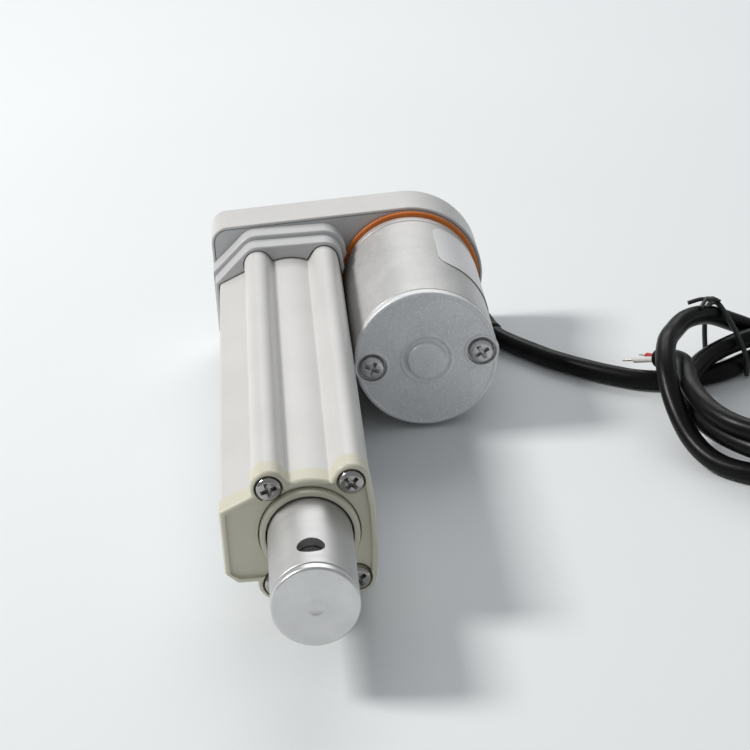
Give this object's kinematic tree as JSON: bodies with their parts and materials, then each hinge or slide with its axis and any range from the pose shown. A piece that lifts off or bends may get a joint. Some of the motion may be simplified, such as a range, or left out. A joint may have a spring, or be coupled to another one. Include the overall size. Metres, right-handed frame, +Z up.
{
  "type": "linear actuator",
  "caption": "Electric linear actuator with a motor beside an extruded tube on a gearbox, a steel rod that slides out of a plastic end cap, and a coiled supply cable",
  "frame": {"origin": "middle of the box around the object without its cable, at the height of the gearbox foot", "axes": "+X the way the rod comes out, +Y from the rod to the motor, +Z up"},
  "size_m": [0.2244, 0.2176, 0.0432],
  "materials": {
    "rod_steel": "satin, turned",
    "acetal": "matte",
    "steel": "machined",
    "bronze": "sintered",
    "tube_paint": "powder coated",
    "ivory_plastic": "moulded",
    "black_rubber": "matte",
    "nickel": "polished nickel",
    "zinc": "zinc plated",
    "plate_paint": "painted die casting",
    "cover_paint": "painted die casting",
    "motor_paint": "grey lacquer",
    "laminations": "stacked",
    "copper": "bare",
    "black_plastic": "matte",
    "carbon": "matte",
    "ferrite": "ground",
    "orange_gasket": "matte",
    "label": "paper",
    "board": "solder mask",
    "red_plastic": "moulded",
    "cable_sheath": "pvc sheath",
    "core_white": "pvc"
  },
  "bodies": {
    "body": {"bearing_outer_ring": "steel", "bearing_cage": "bronze", "outer_tube": "tube_paint", "front_cap": "ivory_plastic", "rod_wiper": "ivory_plastic", "rod_seal": "black_rubber", "cap_screw_1": "nickel", "cap_screw_2": "nickel", "cap_screw_3": "nickel", "cap_screw_4": "nickel", "gearbox_housing": "plate_paint", "rear_cover": "cover_paint", "rear_bush": "bronze", "cover_screw_1": "zinc", "cover_screw_2": "zinc", "cover_screw_3": "zinc", "cover_screw_4": "zinc", "idler_pin": "steel", "motor_can": "motor_paint", "motor_end_cap": "motor_paint", "motor_mount_plate": "motor_paint", "motor_bush_front": "bronze", "motor_bush_rear": "bronze", "brush_holder": "black_plastic", "brush_1": "carbon", "brush_2": "carbon", "magnet_1": "ferrite", "magnet_2": "ferrite", "motor_gasket": "orange_gasket", "motor_label": "label", "motor_screw_1": "zinc", "motor_screw_2": "zinc", "switch_board": "board", "limit_switch_front": "black_plastic", "limit_switch_rear": "black_plastic", "steering_diode_1": "black_plastic", "steering_diode_2": "black_plastic", "cable_grommet": "black_rubber", "cord_lead": "cable_sheath", "cord_coil": "cable_sheath", "cord_tie": "black_plastic", "core_end_1": "copper", "core_end_2": "core_white"},
    "rotor": {"motor_shaft": "steel", "motor_pinion": "steel", "armature_core": "laminations", "winding_front": "copper", "winding_rear": "copper", "commutator": "copper"},
    "idler": {"idler_gear": "acetal"},
    "screw": {"lead_screw": "steel", "output_gear": "steel", "bearing_inner_ring": "steel"},
    "rod": {"push_rod": "rod_steel", "rod_end_plug": "rod_steel", "drive_nut": "acetal", "switch_striker": "acetal"},
    "plunger_front": {"switch_plunger_front": "red_plastic"},
    "plunger_rear": {"switch_plunger_rear": "red_plastic"}
  },
  "joints": [
    {"name": "motor_spin", "type": "hinge", "parent": "body", "child": "rotor", "pos_m": [-0.0478, 0.0178, 0.0212], "axis": [-1, 0, 0], "range_deg": [0, 138666.6]},
    {"name": "idler_spin", "type": "hinge", "parent": "body", "child": "idler", "pos_m": [-0.0828, -0.0014, 0.0212], "axis": [-1, 0, 0], "range_deg": [-32000, 0]},
    {"name": "screw_spin", "type": "hinge", "parent": "body", "child": "screw", "pos_m": [-0.0678, -0.0178, 0.0212], "axis": [-1, 0, 0], "range_deg": [0, 9000]},
    {"name": "rod_slide", "type": "slide", "parent": "body", "child": "rod", "axis": [1, 0, 0], "range_m": [0, 0.1]},
    {"name": "plunger_front_press", "type": "slide", "parent": "body", "child": "plunger_front", "axis": [0, 0, 1], "range_m": [-0.0006, 0], "stiffness_N_per_m": 400, "springref_m": 0.0004},
    {"name": "plunger_rear_press", "type": "slide", "parent": "body", "child": "plunger_rear", "axis": [0, 0, 1], "range_m": [-0.0006, 0], "stiffness_N_per_m": 400, "springref_m": 0.0004}
  ],
  "couplings": [
    {"joint": "idler_spin", "follows": "motor_spin", "ratio": -0.23077},
    {"joint": "screw_spin", "follows": "motor_spin", "ratio": 0.064904},
    {"joint": "rod_slide", "follows": "motor_spin", "m_per_rad": 0.000041319}
  ]
}
